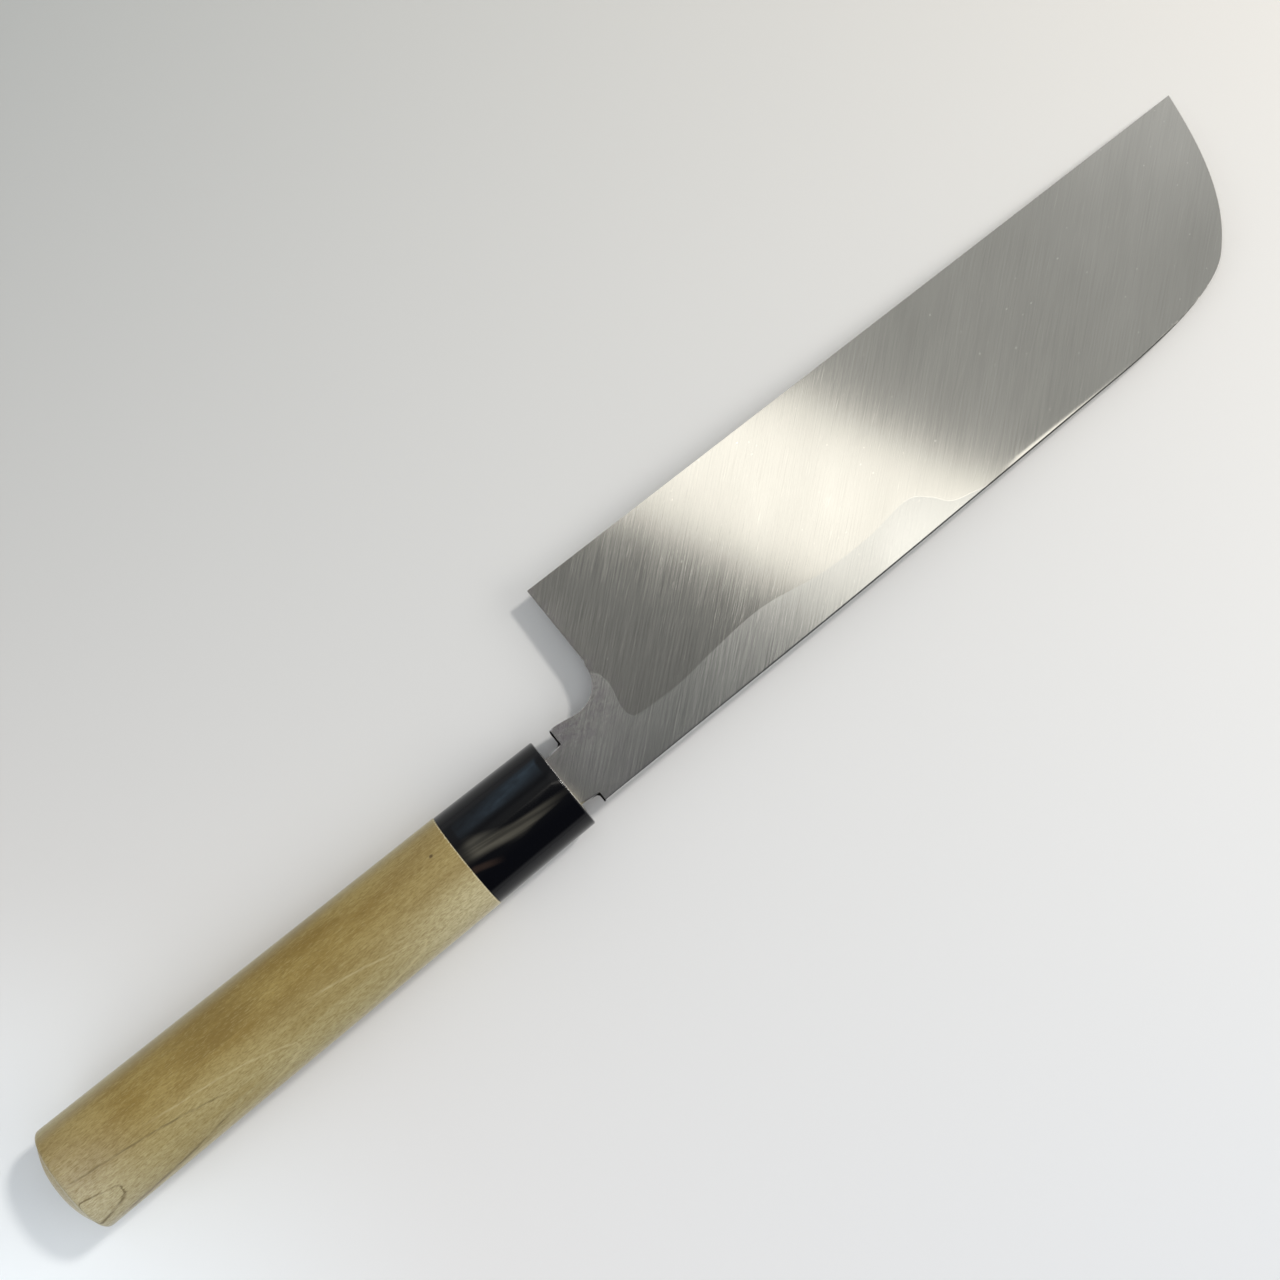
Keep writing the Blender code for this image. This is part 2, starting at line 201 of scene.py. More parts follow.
# Studio: places are right of the picture's middle, above it, and over the table, in metres
key_direction = (0.55, 0.61, 1.0)
key_angle = math.radians(5.5)
key_strength = 1.1
key_colour = (1.0, 0.97, 0.92)
soft_white = (1.0, 0.985, 0.96)
cool_white = (0.88, 0.94, 1.0)

# Lamps: place, size, power and colour
lamps = {
    "overhead": ((0.0, 0.0, 0.8), (0.5, 0.5), 1.3, cool_white),
    "side": ((0.75, 0.12, 0.6), (0.5, 0.8), 2.4, soft_white),
    "low": ((-0.27, -0.25, 0.17), (0.2, 0.2), 0.25, cool_white),
}

# Sky over the table, which the knife mirrors. Places in the ceiling are right of and above the
# zenith for each unit of height. A pair of numbers says where something begins and ends
wall_colour = (0.42, 0.425, 0.43)
horizon_colour = (0.6, 0.605, 0.61)
horizon_edge = (0.28, 0.1)
ceiling_edge = (0.75, 0.9)
ceiling_dark = (0.13, 0.13, 0.13)
ceiling_below_strip = (0.26, 0.26, 0.252)
ceiling_near_strip = (0.48, 0.48, 0.46)
ceiling_far = (0.68, 0.68, 0.66)
ceiling_rise = (0.1, 0.2)
bright_rise = (0.2, 0.27)
bright_rise_right = (-0.3, -0.1)
far_rise = (0.27, 0.38)
strip_tilt = 0.16
strip_up = 0.2255
strip_width = 0.042
strip_softness = 0.008
strip_end_softness = 0.06
strip_ends = (-0.09, 0.8)
strip_colour = (2.05, 1.98, 1.82)
window_along_x = (0.014, 0.034)
window_along_y = (0.62, 1.2)
window_softness = 0.03
window_end_softness = 0.3
window_colour = (1.55, 2.25, 2.9)
dark_side_lean = math.radians(55)
dark_side_reach = math.radians(38)
dark_side_colour = (0.07, 0.07, 0.08)

# Table: its colours near the picture's four corners, which hold painted light that falls off
# towards the upper left, in a painted pool of light by the butt, and far away
table_top_left = (0.475, 0.485, 0.47)
table_top_right = (0.91, 0.875, 0.82)
table_bottom_left = (0.755, 0.73, 0.715)
table_bottom_right = (0.86, 0.875, 0.9)
painted_light_pool = (0.9, 0.94, 0.97)
table_beyond = (0.78, 0.775, 0.765)
table_corner = 0.16
painted_pool_place = (-0.15, -0.17)
painted_pool_reach = 0.13
table_fade = (0.2, 0.6)
table_roughness = 0.6
table_reach = 8.0

# Growth rings of the wood: how a ring's level changes with x, y and z, how fast that turns over
# the round face, how far the rings wander, and the rings that show, each by its foremost place,
# its strength (below zero where it is paler than the wood), how far back it runs and how much of
# it shows in front
ring_tilt = (-0.057, -0.588, 0.806)
ring_slant = 0.624
ring_warp = 0.5 * mm
ring_fine_warp = 0.12 * mm
ring_apexes = (
    (-125.8 * mm, 1.0, 30 * mm, 1.0),
    (-95.3 * mm, 0.85, 45 * mm, 0.25),
    (-77.8 * mm, -0.8, 40 * mm, 1.0),
    (-45.3 * mm, -1.0, 28 * mm, 1.0),
)

# Browner patches of the wood's upper face, each by its middle, half length, half width and
# strength, and the one small knot
heart_patches = (
    (-92 * mm, 6 * mm, 13 * mm, 4.5 * mm, 0.75),
    (-78 * mm, -0.5 * mm, 9 * mm, 3 * mm, 0.35),
    (-37 * mm, 5.5 * mm, 11 * mm, 3.5 * mm, 0.15),
)
knot_place = (-31.8 * mm, 5.1 * mm)

# Colours of the wood: pale and brown parts, each from lighter to darker, painted sheen on the
# lower side near the butt and near the collar, and what shows over them, which includes a painted
# reflection along the upper edge and painted shade on the tenon's front face round the tang
pale_tones = ((0.455, 0.4, 0.215), (0.375, 0.31, 0.14))
brown_tones = ((0.335, 0.248, 0.08), (0.23, 0.15, 0.034))
butt_painted_sheen = (0.6, 0.56, 0.42)
front_painted_sheen = (0.69, 0.63, 0.41)
heart_colour = (0.17, 0.105, 0.022)
mottle_colour = (0.2, 0.135, 0.037)
dark_fleck = (0.18, 0.12, 0.037)
pale_fleck = (0.44, 0.37, 0.18)
edge_painted_reflection = (0.46, 0.44, 0.3)
dark_ring = (0.12, 0.085, 0.035)
pale_ring = (0.55, 0.47, 0.26)
knot_colour = (0.06, 0.03, 0.012)
rim_colour = (0.66, 0.6, 0.42)
tenon_painted_shade = (0.07, 0.06, 0.05)

# Horn
horn_colour = (0.0015, 0.0018, 0.003)
streak_colour = (0.085, 0.079, 0.063)
rust_colour = (0.038, 0.024, 0.018)
horn_ior = 1.36

# Marks on the metal: stains and spots at the neck, painted shade in the notches, bright specks,
# and a painted highlight along the weld's edge. A pair of lengths says where along x something
# begins and ends. Grains any_depth mm high are the same at each height
stain_colour = (0.47, 0.42, 0.49)
spot_colour = (0.4, 0.35, 0.38)
stained = (26 * mm, 14 * mm)
rough_neck = (28 * mm, 6 * mm)
notch_shade_colour = (0.02, 0.02, 0.02)
notch_shade_width = 0.5 * mm
speck_colour = (0.85, 0.84, 0.8)
weld_highlight_colour = (0.95, 0.94, 0.9)
weld_highlight_along_x = (heel_x + 70 * mm, heel_x + 84 * mm)
marks_fade = (70 * mm, 120 * mm)
any_depth = 1000.0

# Directions on the metal, seen from above and measured from X. On the flat side the polish that
# spreads the highlight crosses the grinding marks
flat_marks_angle = math.radians(40)
flat_polish_angle = math.radians(58.9)
bevel_marks_angle = math.radians(80)
underside_marks_angle = math.radians(4)

# Looks of the metal: its tones, roughness and directions, how far it spreads highlights, its
# share of the marks' depth, and how much of the marks is left at the nose
marks_depth = 0.0021 * mm
metal_looks = {
    "steel_flat_side": dict(
        dark=(0.455, 0.45, 0.428), light=(0.61, 0.605, 0.576), smoothest=0.095, roughest=0.135,
        marks_angle=flat_marks_angle, polish_angle=flat_polish_angle, spread=1.0, nose_marks=0.35,
    ),
    "steel_bevel": dict(
        dark=(0.5, 0.5, 0.49), light=(0.62, 0.62, 0.6), smoothest=0.14, roughest=0.22,
        marks_angle=bevel_marks_angle, spread=0.6, depth_share=0.5,
    ),
    "iron_flat_side": dict(
        dark=(0.51, 0.515, 0.502), light=(0.715, 0.718, 0.7), smoothest=0.137, roughest=0.177,
        marks_angle=flat_marks_angle, polish_angle=flat_polish_angle, spread=0.95, nose_marks=0.3,
    ),
    "iron_underside": dict(
        dark=(0.42, 0.415, 0.4), light=(0.56, 0.55, 0.53), smoothest=0.26, roughest=0.36,
        marks_angle=underside_marks_angle, spread=0.9,
    ),
    "iron_bevel": dict(
        dark=(0.36, 0.355, 0.345), light=(0.5, 0.495, 0.48), smoothest=0.42, roughest=0.55,
        marks_angle=bevel_marks_angle, spread=0.4, depth_share=0.7,
    ),
}

# Places that follow from the sizes above
tip_x = heel_x + edge_length
tip_y = heel_edge_y - edge_length * math.tan(edge_slope)
spine_y = -spine_depth
flat_z = neck_thickness / 2
notch_side = tang_width / 2 + tang_flare
bevel_start_x = heel_x - 1 * mm
tenon_size = collar_front_size - 2 * collar_wall


# Geometry helpers

def heading(angle):
    return Vector((math.cos(angle), math.sin(angle)))


def blend(first, last, share):
    return first + (last - first) * share


def bezier(start, start_pull, end_pull, end, steps):
    """Points of a cubic curve in plan, without its last one."""
    points = []
    for step in range(steps):
        t = step / steps
        u = 1 - t
        points.append(
            start * u ** 3 + start_pull * 3 * u * u * t + end_pull * 3 * u * t * t + end * t ** 3
        )
    return points


def arc(centre, radius, from_angle, to_angle, steps):
    """Points of a round corner in plan, both ends included."""
    turn = to_angle - from_angle
    return [centre + radius * heading(from_angle + turn * step / steps) for step in range(steps + 1)]


def smooth_path(points, steps):
    """A Catmull-Rom curve through the points."""
    path = []
    for index in range(len(points) - 1):
        before = points[max(index - 1, 0)]
        here = points[index]
        after = points[index + 1]
        beyond = points[min(index + 2, len(points) - 1)]
        for step in range(steps):
            t = step / steps
            path.append(0.5 * (
                2 * here
                + (after - before) * t
                + (2 * before - 5 * here + 4 * after - beyond) * t * t
                + (3 * here - before - 3 * after + beyond) * t ** 3
            ))
    path.append(points[-1])
    return path


def spaced(path, spacing):
    """The path with points added, so that no step is longer than the spacing."""
    points = [path[0]]
    for before, after in zip(path, path[1:]):
        steps = max(1, math.ceil((after - before).length / spacing))
        for step in range(1, steps + 1):
            points.append(blend(before, after, step / steps))
    return points


def moved_left(path, distance):
    """The path moved sideways, to the left of its direction."""
    moved = []
    for index, point in enumerate(path):
        ahead = path[min(index + 1, len(path) - 1)]
        behind = path[max(index - 1, 0)]
        direction = (ahead - behind).normalized()
        moved.append(point + distance * Vector((-direction.y, direction.x)))
    return moved


def smooth_step(value, low, high):
    t = np.clip((value - low) / (high - low), 0.0, 1.0)
    return t * t * (3 - 2 * t)


def distance_to_path(points, path):
    """Least distance of each point, a row of an array, to a path."""
    places = np.array([tuple(p) for p in path])
    starts = places[:-1]
    runs = places[1:] - starts
    squares = np.maximum((runs ** 2).sum(1), tiny ** 2)
    least = np.full(len(points), np.inf)
    for start, run, square in zip(starts, runs, squares):
        offset = points - start
        share = np.clip((offset @ run) / square, 0.0, 1.0)
        gap = np.hypot(*(offset - share[:, None] * run).T)
        least = np.minimum(least, gap)
    return least


def inside(points, polygon):
    """Which points, rows of an array, lie inside a polygon."""
    corners = np.array([tuple(p) for p in polygon])
    following = np.roll(corners, -1, axis=0)
    result = np.zeros(len(points), bool)
    for (x0, y0), (x1, y1) in zip(corners, following):
        spans = (y0 > points[:, 1]) != (y1 > points[:, 1])
        if y0 == y1:
            continue
        crossing = x0 + (points[:, 1] - y0) * (x1 - x0) / (y1 - y0)
        result ^= spans & (points[:, 0] < crossing)
    return result


# Surfaces of the blade, for numbers and for arrays alike

def blade_thickness(x):
    return blend(neck_thickness, tip_thickness, x / tip_x)


def steel_thickness(x):
    """Thickness of the steel, with the unevenness that forging leaves."""
    share = (x - heel_x) / edge_length
    wave = sum(part * np.sin(share * turns + start) for turns, start, part in weld_waves)
    return blend(steel_thickness_heel, steel_thickness_tip, share) + weld_wave * wave


def edge_y(x):
    return heel_edge_y - (x - heel_x) * math.tan(edge_slope)


def bevel_width(x):
    return blend(bevel_width_heel, bevel_width_tip, (x - heel_x) / edge_length)


def bevel_line_y(x):
    return edge_y(x) - bevel_width(x)


def steel_line_y(x):
    """Where the steel comes out of the bevel on the underside."""
    share = (blade_thickness(x) - steel_thickness(x)) / (blade_thickness(x) - edge_land)
    return bevel_line_y(x) + share * bevel_width(x)


# Outlines in plan

def spine_and_nose():
    """From the lower notch along the spine and round the nose to the tip."""
    straight_end = Vector((tip_x - spine_straight_back, spine_y))
    shoulder = Vector((tip_x - shoulder_back, spine_y + shoulder_rise))
    nose = Vector((tip_x - nose_back, spine_y + nose_rise))
    tip = Vector((tip_x, tip_y))
    points = [Vector((notch_x, spine_y))]
    for start, start_angle, start_reach, end, end_angle, end_reach, steps in (
        (straight_end, 0.0, spine_reach, shoulder, shoulder_angle, spine_reach, spine_steps),
        (shoulder, shoulder_angle, shoulder_reach, nose, nose_angle, nose_reach_back, nose_steps),
        (nose, nose_angle, nose_reach_front, tip, tip_angle, tip_reach, nose_steps),
    ):
        start_pull = start + start_reach * heading(start_angle)
        end_pull = end - end_reach * heading(end_angle)
        points += bezier(start, start_pull, end_pull, end, steps)
    return points + [tip]


def heel_and_neck():
    """From the heel down to the choil and along the neck to the upper notch."""
    step_x = heel_x - choil_step
    centre = Vector((step_x - choil_radius, neck_edge_y + choil_radius))
    flare_y = neck_edge_y + neck_flare
    corner = Vector((notch_x + notch_corner, flare_y - notch_corner))
    points = [Vector((heel_x, heel_edge_y)), Vector((heel_x, centre.y + choil_step_run))]
    points += arc(centre, choil_radius, 0.0, -math.pi / 2, choil_steps)
    choil_end = points.pop()
    flare_end = Vector((corner.x, flare_y))
    flare_pull = Vector(((choil_end.x - flare_end.x) / 3, 0))
    points += bezier(choil_end, choil_end - flare_pull, flare_end + flare_pull, flare_end, flare_steps)
    points += arc(corner, notch_corner, math.pi / 2, math.pi, corner_steps)
    return points


def tang_half_width(x):
    """Half the tang's width behind the collar's front face."""
    return blend(tang_width, tang_end_width, -x / tang_length) / 2


def upper_notch_and_tang():
    """From the upper notch to the end of the tang, above the axis."""
    side = tang_half_width(0.0)
    return [
        Vector((notch_x, side + tang_flare + notch_fillet)),
        Vector((notch_x - notch_fillet, side + tang_flare)),
        Vector((0.0, side)),
        Vector((-tang_length, tang_half_width(-tang_length))),
    ]


def weld_path():
    """The edge of the steel on the flat side, from the heel to past the spine."""
    places = [Vector((heel_x + x * mm, spine_y + y * mm)) for x, y in weld_line_mm]
    return smooth_path(places, weld_steps)


# Heights of the blade's faces over its plan

def hollow(points, spine):
    """How deep the hollow of the flat side is at each point."""
    x, y = points.T
    low_y = np.interp(x, *zip(*spine)) + hollow_rim
    width = np.maximum(edge_y(x) - low_y, tiny)
    across = np.clip((y - low_y) / width, 0.0, 1.0)
    end = tip_x - hollow_behind_tip
    start = heel_x - hollow_behind_heel
    fade = smooth_step(x - start, 0.0, hollow_fade) * smooth_step(end - x, 0.0, hollow_fade)
    full_width = heel_edge_y + spine_depth
    return hollow_depth * fade * (width / full_width) ** 2 * 4 * across * (1 - across)


def rounding(distance, radius):
    """How far a rounded edge falls below its face, at a distance inside the outline."""
    radius = np.maximum(radius, tiny)
    short = np.clip(1 - distance / radius, 0.0, 1.0)
    return radius * (1 - np.sqrt(np.maximum(1 - short ** 2, 0.0)))


def rounding_radius(name, x):
    """Radius of the worn edge along a part of the outline."""
    if name == "spine":
        fade_start = tip_x - spine_round_end
        return spine_round * (1 - smooth_step(x, fade_start, fade_start + spine_round_fade))
    return neck_round if name == "neck" else notch_round


def blade_heights(points, chains):
    """Top and underside of the blade at each point of its plan."""
    x, y = points.T
    thickness = blade_thickness(x)
    share = np.clip((y - bevel_line_y(x)) / bevel_width(x), 0.0, 1.0)
    share = np.where(x > heel_x - past, share, 0.0)
    underside = flat_z - thickness + (thickness - edge_land) * share
    top = flat_z - hollow(points, chains["spine"])
    body = top - underside
    fall = np.zeros(len(points))
    for name, chain in chains.items():
        distance = distance_to_path(points, chain)
        reach = np.minimum(rounding_radius(name, x), round_share * body)
        fall = np.maximum(fall, rounding(distance, reach))
        if name == "spine":
            rim = spine_rim_fall * np.clip(1 - distance / spine_rim_width, 0.0, 1.0) ** 2
            rim *= smooth_step(x - spine_rim_from, 0.0, spine_rim_fade)
            rim *= smooth_step(spine_rim_to - x, 0.0, spine_rim_fade)
            top = top - rim
    thinning = (neck_thickness - tang_end_thickness) / 2 * np.clip(-x / tang_length, 0.0, 1.0)
    return top - fall - thinning, underside + fall + thinning


def blade_plan():
    """Triangles of the blade's plan, with its weld and grinding lines among their edges."""
    spine = spaced(spine_and_nose(), outline_spacing)
    neck = spaced(heel_and_neck(), neck_spacing)
    upper = upper_notch_and_tang()
    lower = [Vector((point.x, -point.y)) for point in reversed(upper)]
    edge = spaced([spine[-1], neck[0]], outline_spacing)
    tang = spaced(upper[2:] + lower[:2], tang_side_spacing)
    outline = spine + edge[1:-1] + neck + upper[:2] + tang + lower[2:]
    corner = len(neck) - corner_steps - 1
    chains = {
        "spine": spine,
        "neck": neck[:corner + 1],
        "upper_notch": neck[corner:] + upper[:3],
        "lower_notch": lower[1:] + [spine[0]],
    }

    steps = range(blade_stations + 1)
    xs = [blend(heel_x - past, tip_x + past, step / blade_stations) for step in steps]
    bevel_line = [Vector((x, bevel_line_y(x))) for x in xs]
    steel_line = [Vector((x, steel_line_y(x))) for x in xs]
    weld = weld_path()

    points = []
    edges = []

    def add_path(path, closed=False):
        first = len(points)
        points.extend(path)
        for index in range(len(path) - 1):
            edges.append((first + index, first + index + 1))
        if closed:
            edges.append((first + len(path) - 1, first))

    add_path(outline, closed=True)
    for path in (bevel_line, steel_line, weld):
        add_path(path)
    for name, chain in chains.items():
        radius = float(rounding_radius(name, 0.0))
        for step in range(1, round_steps + 1):
            angle = math.pi / 2 * (1 - step / round_steps)
            add_path(moved_left(chain, radius * (1 - math.sin(angle))))
        add_path(moved_left(chain, radius + round_rim))
    for distance in (hollow_rim, 0.7 * spine_rim_width, spine_rim_width):
        add_path(moved_left(spine, distance)[spine_line_start:-spine_line_end])

    gaps = [(after - before).length for before, after in zip(spine, spine[1:])]
    lengths = np.cumsum([0.0] + gaps)
    filling = []
    for step in steps:
        share = step / blade_stations
        low = Vector([np.interp(share * lengths[-1], lengths, part) for part in zip(*spine)])
        edge_x = blend(notch_x, tip_x, share)
        high = Vector((edge_x, edge_y(edge_x)))
        filling += [tuple(blend(low, high, row / blade_rows)) for row in range(1, blade_rows)]
    for column in range(tang_columns):
        for row in range(-tang_rows, tang_rows + 1):
            filling.append((notch_x - column * tang_spacing, row * tang_spacing))
    filling = np.array(filling)
    filling = filling[inside(filling, outline)]
    clear = distance_to_path(filling, outline + [outline[0]]) > outline_clearance
    for path in (bevel_line, steel_line, weld):
        clear &= distance_to_path(filling, path) > line_clearance
    points += [Vector(p) for p in filling[clear]]

    flat = [p / mm for p in points]
    found, _, triangles, _, _, _ = delaunay_2d_cdt(flat, edges, [], 0, plan_tolerance_mm)
    places = np.array([tuple(p) for p in found]) * mm
    triangles = np.array(triangles)
    centres = places[triangles].mean(axis=1)
    kept = inside(centres, outline)
    far_x = tip_x + past
    far_y = heel_edge_y + past
    steel_area = weld + [(far_x, spine_y - past), (far_x, far_y), (weld[0].x, far_y)]
    bare_area = steel_line + [(far_x, far_y), (heel_x - past, far_y)]
    return {
        "points": places,
        "triangles": triangles[kept],
        "steel": inside(centres[kept], steel_area),
        "bare": inside(centres[kept], bare_area),
        "chains": chains,
        "bevel_line": bevel_line,
        "weld_distance": distance_to_path(places, weld),
    }


# Meshes

def put(name, data):
    """A new object in the scene."""
    item = bpy.data.objects.new(name, data)
    bpy.context.scene.collection.objects.link(item)
    return item


def finished(name, bm):
    """A piece from a bmesh, shaded smooth but for its sharp edges."""
    bmesh.ops.remove_doubles(bm, verts=bm.verts, dist=merge_distance)
    bmesh.ops.recalc_face_normals(bm, faces=bm.faces)
    mesh = bpy.data.meshes.new(name)
    bm.to_mesh(mesh)
    bm.free()
    mesh.shade_smooth()
    mesh.set_sharp_from_angle(angle=sharp_angle)
    return put(name, mesh)


def shell_over(plan, kept, top, underside, parts, paint):
    """A closed body over the kept triangles of the plan.

    Top has one array of heights for each part of the plan, parts says which part each triangle
    is in, and paint gives the material's number for a triangle and one of its faces.
    """
    bm = bmesh.new()
    from_weld = bm.verts.layers.float.new("weld_distance")
    made = {}
    places = plan["points"]

    def vertex(index, level):
        key = (index, round(float(level) * levels_per_metre))
        if key not in made:
            made[key] = bm.verts.new((places[index][0], places[index][1], level))
            made[key][from_weld] = plan["weld_distance"][index]
        return made[key]

    def face(corners, material):
        ring = list(dict.fromkeys(corners))
        if len(ring) > 2:
            bm.faces.new(ring).material_index = material

    def flat(number):
        level = top[parts[number]]
        return all(vertex(i, level[i]) is vertex(i, underside[i]) for i in plan["triangles"][number])

    def side_corners(index, first, last):
        """A side's corners at one place, with a stop where another part's top meets it."""
        lower, upper = sorted((first[index], last[index]))
        levels = {top[part][index] for part in parts_at[index]} | {lower, upper}
        levels = sorted(levels, reverse=bool(first[index] > last[index]))
        return [vertex(index, level) for level in levels if lower <= level <= upper]

    sides = {}
    parts_at = {}
    for number in np.nonzero(kept)[0]:
        if flat(number):
            continue
        for index in plan["triangles"][number]:
            parts_at.setdefault(int(index), set()).add(parts[number])
        a, b, c = (int(i) for i in plan["triangles"][number])
        level = top[parts[number]]
        face([vertex(i, level[i]) for i in (a, b, c)], paint(number, "top"))
        face([vertex(i, underside[i]) for i in (c, b, a)], paint(number, "under"))
        for start, end in ((a, b), (b, c), (c, a)):
            sides.setdefault((min(start, end), max(start, end)), []).append((number, start, end))
    for uses in sides.values():
        number, start, end = uses[0]
        high = top[parts[number]]
        if len(uses) == 1:
            low = underside
        elif parts[uses[1][0]] != parts[number]:
            low = top[parts[uses[1][0]]]
        else:
            continue
        face(side_corners(start, high, low) + side_corners(end, low, high), paint(number, "side"))
    bmesh.ops.delete(bm, geom=[v for v in bm.verts if not v.link_faces], context="VERTS")
    return bm


def loft(rings, closed=False):
    """A mesh through rings of as many points each, with flat ends, or closed into a loop."""
    bm = bmesh.new()
    rows = [[bm.verts.new(point) for point in ring] for ring in rings]
    count = len(rows[0])
    pairs = list(zip(rows, rows[1:]))
    if closed:
        pairs.append((rows[-1], rows[0]))
    for row, following in pairs:
        for index in range(count):
            after = (index + 1) % count
            bm.faces.new((row[index], row[after], following[after], following[index]))
    if not closed:
        bm.faces.new(list(reversed(rows[0])))
        bm.faces.new(rows[-1])
    return bm


# Materials

class Value:
    """What a node works out at each place. Plain arithmetic with it adds more nodes."""

    def __init__(self, tree, socket):
        self.tree = tree
        self.socket = socket

    def math(self, operation, *others, clamp=False):
        inputs = dict(enumerate((self, *others)))
        return self.tree.node("ShaderNodeMath", inputs, operation=operation, use_clamp=clamp)

    def __add__(self, other):
        return self.math("ADD", other)

    def __sub__(self, other):
        return self.math("SUBTRACT", other)

    def __mul__(self, other):
        return self.math("MULTIPLY", other)

    def __truediv__(self, other):
        return self.math("DIVIDE", other)

    def __abs__(self):
        return self.math("ABSOLUTE")

    def span(self, low, high, to_low=0.0, to_high=1.0, smooth=True):
        """The value's place between low and high, as a number from to_low to to_high."""
        inputs = dict(enumerate((self, low, high, to_low, to_high)))
        way = "SMOOTHSTEP" if smooth else "LINEAR"
        return self.tree.node("ShaderNodeMapRange", inputs, interpolation_type=way)

    def between(self, low, high, soft):
        """1 between low and high, and 0 outside, with soft edges."""
        return self.span(low - soft / 2, low + soft / 2) - self.span(high - soft / 2, high + soft / 2)

    def mix(self, low, high):
        """The colour at this share of the way between two."""
        low, high = (colour if isinstance(colour, Value) else (*colour, 1.0) for colour in (low, high))
        return self.tree.node("ShaderNodeMix", {0: self, 6: low, 7: high}, 2, data_type="RGBA")

    def bump(self, depth):
        inputs = {"Height": self, "Distance": depth, "Strength": 1.0}
        return self.tree.node("ShaderNodeBump", inputs)


def length(first, second):
    """The length of a line with these two parts."""
    return (first * first + second * second).math("SQRT")


class Tree:
    """The nodes of a material or of the world."""

    def __init__(self, tree):
        self.tree = tree

    def feed(self, socket, value):
        """Links a socket to the value, or sets it."""
        if isinstance(value, Value):
            self.tree.links.new(value.socket, socket)
        else:
            socket.default_value = value

    def node(self, kind, inputs, output=0, **settings):
        """What a new node works out from these inputs."""
        node = self.tree.nodes.new(kind)
        for name, setting in settings.items():
            setattr(node, name, setting)
        for name, value in inputs.items():
            self.feed(node.inputs[name], value)
        return Value(self, node.outputs[output])


class Surface(Tree):
    """The nodes of one material, laid in the knife's own frame."""

    def __init__(self, name, attitude):
        self.material = bpy.data.materials.new(name)
        self.material.use_nodes = True
        super().__init__(self.material.node_tree)
        self.shader = self.tree.nodes["Principled BSDF"]
        self.attitude = attitude
        self.place = self.node("ShaderNodeTexCoord", {}, "Object")
        self.place = self.lay((1.0, 1.0, 1.0), attitude.to_euler(), attitude.to_translation())

    def lay(self, size, rotation, location=(0.0, 0.0, 0.0)):
        """Coordinates counted in grains of that size in metres, in a turned frame."""
        inputs = {"Vector": self.place, "Location": location, "Rotation": rotation, "Scale": size}
        return self.node("ShaderNodeMapping", inputs, vector_type="TEXTURE")

    def axes(self, turn=0.0):
        """The three coordinates, in a frame turned about Z."""
        place = self.lay((1.0, 1.0, 1.0), (0.0, 0.0, turn)) if turn else self.place
        node = self.tree.nodes.new("ShaderNodeSeparateXYZ")
        self.feed(node.inputs[0], place)
        return [Value(self, socket) for socket in node.outputs]

    def noise(self, size, angle=0.0, detail=2.0, roughness=0.5):
        """Random grains of that size in millimetres, turned about Z."""
        vector = self.lay([part * mm for part in size], (0.0, 0.0, angle))
        inputs = {"Vector": vector, "Scale": 1.0, "Detail": detail, "Roughness": roughness}
        return self.node("ShaderNodeTexNoise", inputs)

    def spread_across(self, angle):
        """Spreads highlights across marks that run at this angle from X."""
        direction = self.attitude.to_3x3() @ Vector((-math.sin(angle), math.cos(angle), 0.0))
        self.feed(self.shader.inputs["Tangent"], self.node(
            "ShaderNodeVectorTransform", {0: direction},
            vector_type="VECTOR", convert_from="OBJECT", convert_to="WORLD",
        ))

    def dressed(self, **values):
        """The material, with these values on its shader."""
        for name, value in values.items():
            self.feed(self.shader.inputs[name.replace("_", " ")], value)
        return self.material


